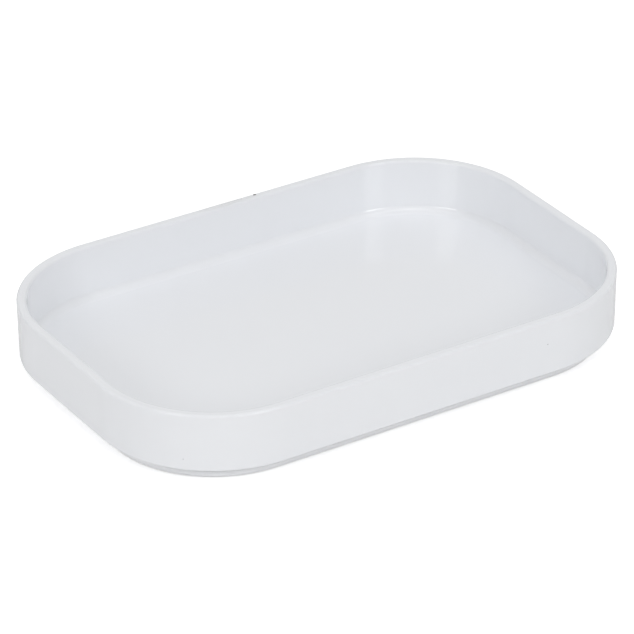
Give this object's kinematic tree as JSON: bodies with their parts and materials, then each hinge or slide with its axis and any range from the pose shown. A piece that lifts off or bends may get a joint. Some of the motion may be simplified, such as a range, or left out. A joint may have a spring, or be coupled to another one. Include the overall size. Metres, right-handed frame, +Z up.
{
  "type": "paint roller tray",
  "caption": "Flat-floored rectangular dish with rounded corners and an upright wall, which holds paint for a small roller or a pad, on a recessed base ring with soft non-slip pads.",
  "frame": {"origin": "middle of the tray's footprint, on the surface that its pads stand on", "axes": "+X along the tray's length, +Y across its width, +Z up; the front is -Y and the left is -X"},
  "size_m": [0.25, 0.1686, 0.0335],
  "materials": {
    "shell_plastic": "polished white moulded plastic",
    "ring_plastic": "satin white moulded plastic",
    "pad_rubber": "soft matt pale grey rubber"
  },
  "bodies": {
    "root": {"tray_shell": "shell_plastic", "foot_ring": "ring_plastic", "grip_pad_front_left": "pad_rubber", "grip_pad_front_right": "pad_rubber", "grip_pad_rear_left": "pad_rubber", "grip_pad_rear_right": "pad_rubber"}
  },
  "joints": []
}
